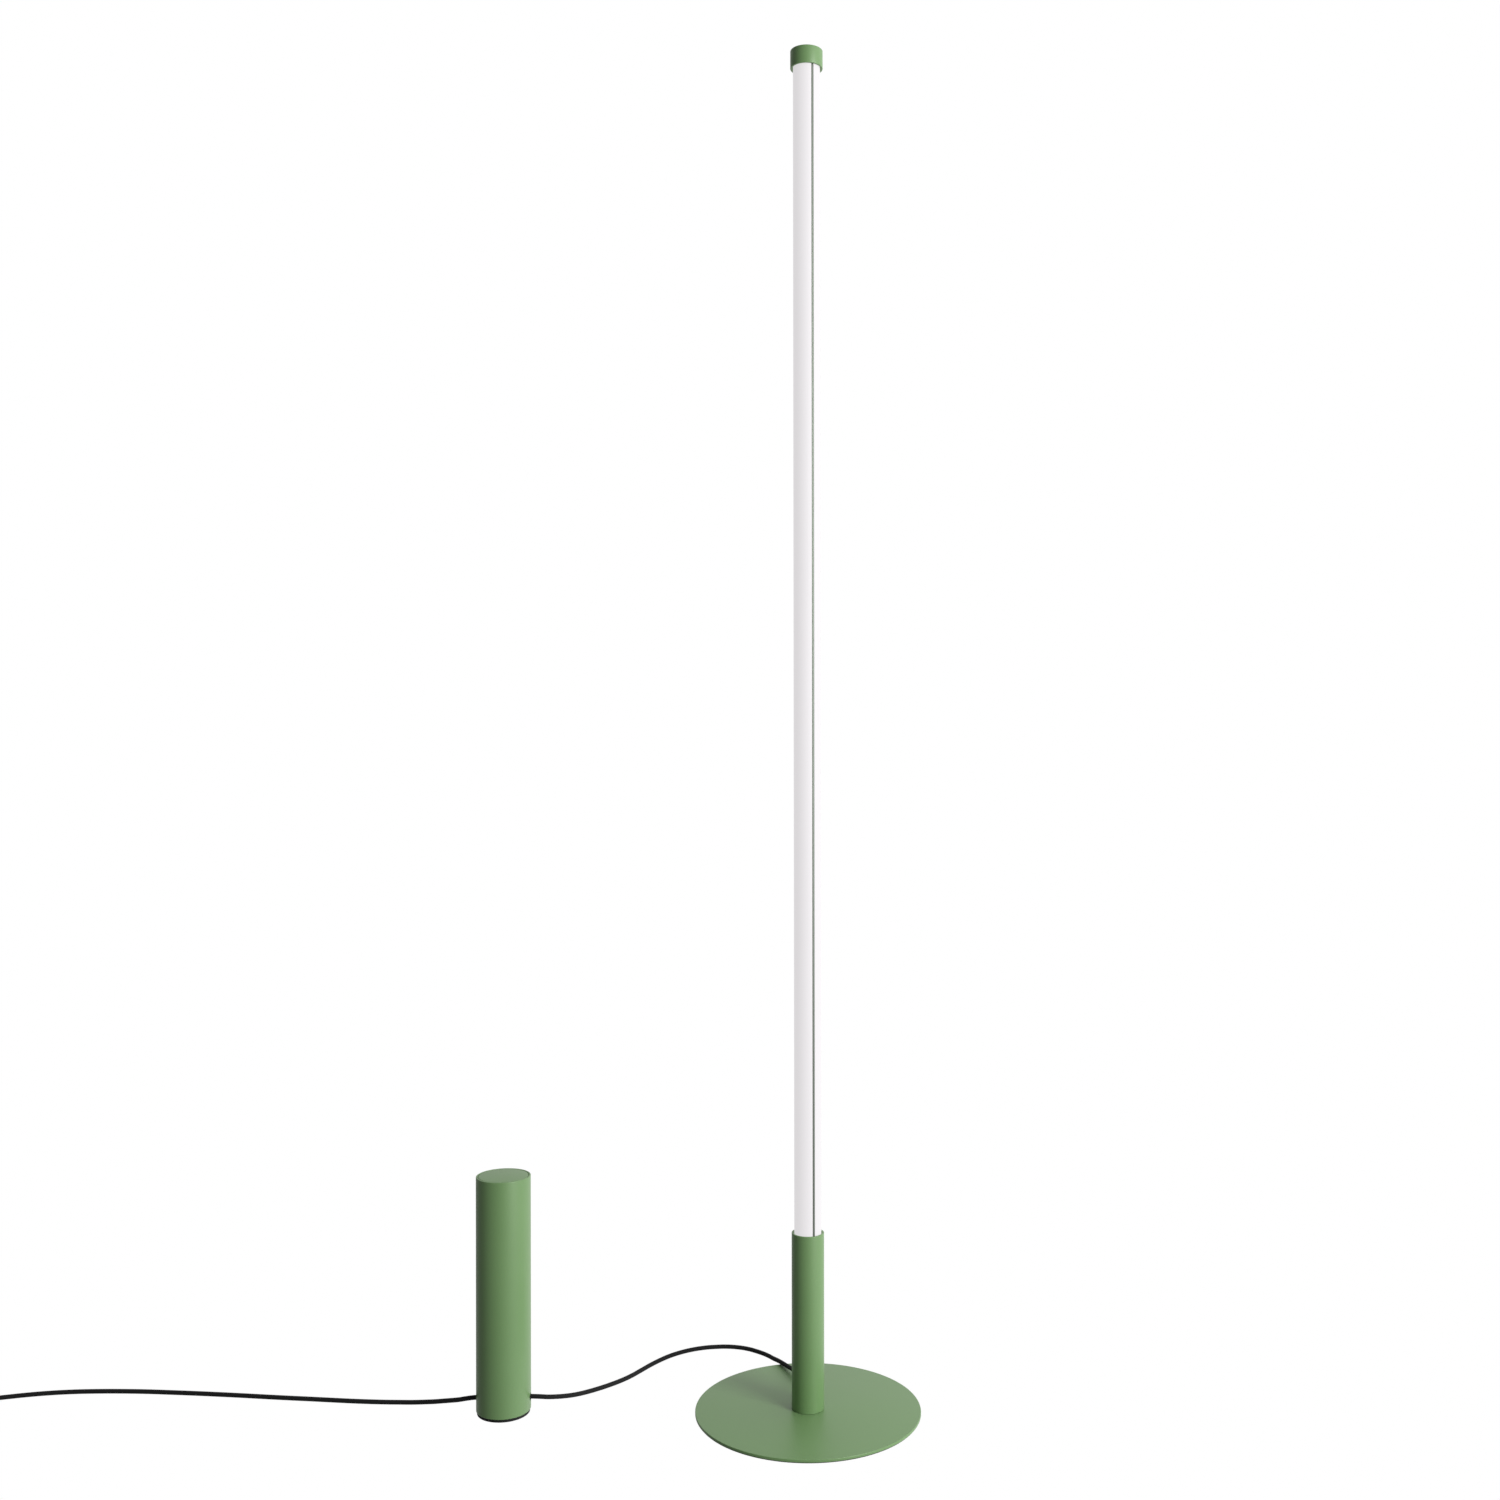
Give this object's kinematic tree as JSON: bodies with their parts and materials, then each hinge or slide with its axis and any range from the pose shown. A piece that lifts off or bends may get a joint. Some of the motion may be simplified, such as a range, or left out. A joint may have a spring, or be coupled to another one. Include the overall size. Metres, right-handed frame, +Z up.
{
  "type": "tube floor lamp with driver column",
  "caption": "Slim upright LED tube floor lamp on a round base plate, with a separate cylindrical driver and dimmer column standing on its black cord.",
  "frame": {"origin": "on the floor, under the lamp's axis, at the centre of the base pad's underside", "axes": "+Z up along the lamp; +X to the viewer's right, so the driver column stands on -X; the front faces -Y"},
  "size_m": [1.1305, 0.3058, 1.509],
  "materials": {
    "green_paint": "matt powder coat in sage green",
    "black_rubber": "matt black rubber",
    "black_plastic": "matt black moulded plastic",
    "cord_sheath": "smooth black cord sheath",
    "opal_shell": "opal extruded acrylic, satin",
    "anodised": "clear anodised extrusion",
    "steel": "zinc plated steel",
    "brass": "turned brass",
    "circuit_board": "green glass fibre board",
    "white_board": "white masked board with LED packages",
    "ferrite": "ferrite core with varnished winding"
  },
  "bodies": {
    "lamp_base": {"base_pad": "black_rubber", "base_plate": "green_paint", "post_foot_plug": "anodised", "post_tube": "green_paint", "post_grommet": "black_rubber", "cord_clamp": "black_plastic", "inner_lead": "cord_sheath", "swivel_collar": "black_plastic", "friction_ring": "black_rubber", "contact_socket": "black_plastic", "column_tube": "green_paint", "column_foot": "black_plastic", "dc_grommet": "black_rubber", "mains_grommet": "black_rubber", "dc_clamp": "black_plastic", "mains_clamp": "black_plastic", "chassis": "anodised", "driver_board": "circuit_board", "transformer": "ferrite", "capacitor": "black_plastic", "choke": "ferrite", "dc_terminal": "black_plastic", "mains_terminal": "black_plastic", "dc_wires": "cord_sheath", "mains_wires": "cord_sheath", "dimmer_board": "circuit_board", "tact_switch": "black_plastic", "button_guide": "black_plastic", "button_spring": "steel", "dc_lead": "cord_sheath", "mains_lead": "cord_sheath", "cord_coil": "cord_sheath", "mains_tail": "cord_sheath", "plug_relief": "cord_sheath", "plug_body": "black_plastic", "base_screw_1": "steel", "foot_screw_1": "steel", "base_screw_2": "steel", "foot_screw_2": "steel", "base_screw_3": "steel", "foot_screw_3": "steel", "plug_pin_1": "steel", "plug_pin_2": "steel"},
    "light_tube": {"light_spine": "anodised", "diffuser_right": "opal_shell", "diffuser_left": "opal_shell", "led_strip_right": "white_board", "led_strip_left": "white_board", "lower_holder": "black_plastic", "tube_plug": "brass", "upper_holder": "black_plastic", "lower_screw_1": "steel", "lower_screw_2": "steel", "upper_screw_1": "steel", "upper_screw_2": "steel", "cap_ring": "black_rubber", "top_cap": "green_paint"},
    "dimmer_button": {"dimmer_button": "green_paint"}
  },
  "joints": [
    {"name": "tube_turn", "type": "hinge", "parent": "lamp_base", "child": "light_tube", "pos_m": [0, 0, 0.17], "axis": [0, 0, 1], "range_deg": [-170, 170]},
    {"name": "dimmer_press", "type": "slide", "parent": "lamp_base", "child": "dimmer_button", "axis": [0, 0, -1], "range_m": [0, 0.0018], "stiffness_N_per_m": 1500, "springref_m": -0.003, "deforming": ["button_spring"]}
  ]
}
